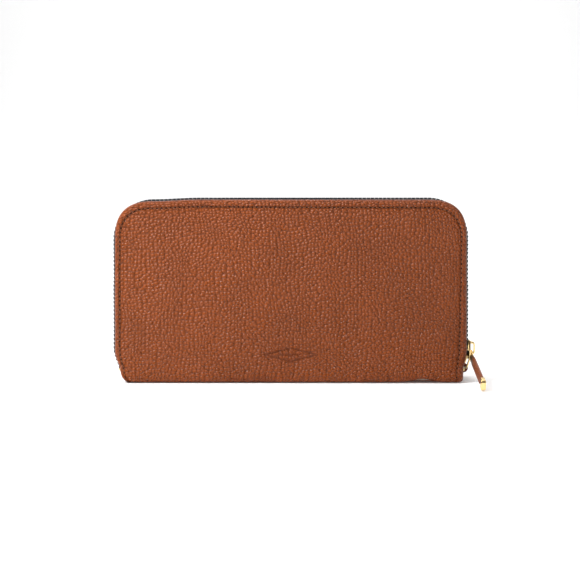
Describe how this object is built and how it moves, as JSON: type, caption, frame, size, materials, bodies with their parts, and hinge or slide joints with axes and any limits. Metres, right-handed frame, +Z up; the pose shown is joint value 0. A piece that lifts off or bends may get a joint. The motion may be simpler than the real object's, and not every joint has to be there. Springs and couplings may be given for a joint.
{
  "type": "zip around wallet",
  "caption": "Long zip around wallet in pebbled leather, standing on its spine, with hinged halves, card slots, a zipped coin pocket, a leather zip pull and a wrist-strap ring.",
  "frame": {"origin": "centre of the spine's flat underside, on the surface that the wallet stands on", "axes": "+X along the spine towards the end where the outer slider rests, -Y out of the front cover, +Z up to the long zip side"},
  "size_m": [0.199, 0.051, 0.1005],
  "materials": {
    "leather_outer": "pebbled tan leather, satin",
    "leather_inner": "smooth tan leather, satin",
    "thread": "waxed thread in the leather's colour",
    "padding": "pale padding",
    "stiffener": "grey stiffening board",
    "lining": "dark woven lining",
    "zip_tape": "woven zip tape, near black",
    "zip_teeth": "near black moulded teeth",
    "gold_metal": "polished pale gold",
    "gold_small": "satin pale gold"
  },
  "bodies": {
    "spine": {"coin_pocket_back": "leather_inner", "coin_pocket_edge": "leather_inner", "coin_pocket_front": "leather_inner", "coin_zip_stops": "gold_small", "coin_zip_tape_back": "zip_tape", "coin_zip_tape_front": "zip_tape", "coin_zip_teeth": "gold_small", "gusset_back_left": "leather_inner", "gusset_back_right": "leather_inner", "gusset_front_left": "leather_inner", "gusset_front_right": "leather_inner", "spine_board": "stiffener", "spine_leather": "leather_outer", "spine_lining": "lining"},
    "front_half": {"front_board": "stiffener", "front_card_panel": "leather_inner", "front_card_slot_1": "leather_inner", "front_card_slot_2": "leather_inner", "front_card_slot_3": "leather_inner", "front_card_slot_4": "leather_inner", "front_cover": "leather_outer", "front_foam": "padding", "front_lining": "lining", "front_stitching": "thread", "front_zip_stops": "gold_small", "front_zip_tape": "zip_tape", "front_zip_teeth": "zip_teeth"},
    "back_half": {"back_board": "stiffener", "back_card_panel": "leather_inner", "back_card_slot_1": "leather_inner", "back_card_slot_2": "leather_inner", "back_card_slot_3": "leather_inner", "back_card_slot_4": "leather_inner", "back_cover": "leather_outer", "back_foam": "padding", "back_lining": "lining", "back_stitching": "thread", "back_zip_stops": "gold_small", "back_zip_tape": "zip_tape", "back_zip_teeth": "zip_teeth", "strap_tab": "leather_outer"},
    "zip_slider": {"zip_slider": "gold_metal", "zip_slider_bridge": "gold_metal"},
    "pull_link": {"pull_link": "gold_metal"},
    "pull_strap": {"pull_strap": "leather_outer", "pull_end_cap": "gold_metal"},
    "strap_ring": {"strap_ring": "gold_metal"},
    "coin_slider": {"coin_slider": "gold_metal", "coin_slider_bridge": "gold_metal"},
    "coin_pull": {"coin_pull": "gold_metal"}
  },
  "joints": [
    {"name": "front_open", "type": "hinge", "parent": "spine", "child": "front_half", "pos_m": [0, -0.012, 0.003], "axis": [1, 0, 0], "range_deg": [0, 28], "deforming": ["gusset_front_left", "gusset_front_right"]},
    {"name": "back_open", "type": "hinge", "parent": "spine", "child": "back_half", "pos_m": [0, 0.012, 0.003], "axis": [-1, 0, 0], "range_deg": [0, 28], "deforming": ["gusset_back_left", "gusset_back_right"]},
    {"name": "zip_slide", "type": "slide", "parent": "back_half", "child": "zip_slider", "axis": [0, 0, 1], "range_m": [0, 0.056], "deforming": ["front_zip_teeth", "back_zip_teeth"]},
    {"name": "pull_flip", "type": "hinge", "parent": "zip_slider", "child": "pull_link", "pos_m": [0.09945, 0, 0.0161], "axis": [0, -1, 0], "range_deg": [0, 140]},
    {"name": "strap_swing", "type": "hinge", "parent": "pull_link", "child": "pull_strap", "pos_m": [0.09945, 0, 0.0132], "axis": [-1, 0, 0], "range_deg": [-74, 30]},
    {"name": "ring_swing", "type": "hinge", "parent": "back_half", "child": "strap_ring", "pos_m": [0.0975, 0.0088, 0.0057], "axis": [0, 1, 0], "range_deg": [0, 100]},
    {"name": "coin_zip_slide", "type": "slide", "parent": "spine", "child": "coin_slider", "axis": [-1, 0, 0], "range_m": [0, 0.12], "deforming": ["coin_zip_teeth"]},
    {"name": "coin_pull_flip", "type": "hinge", "parent": "coin_slider", "child": "coin_pull", "pos_m": [0.0668, 0, 0.0772], "axis": [0, 1, 0], "range_deg": [0, 165]}
  ]
}
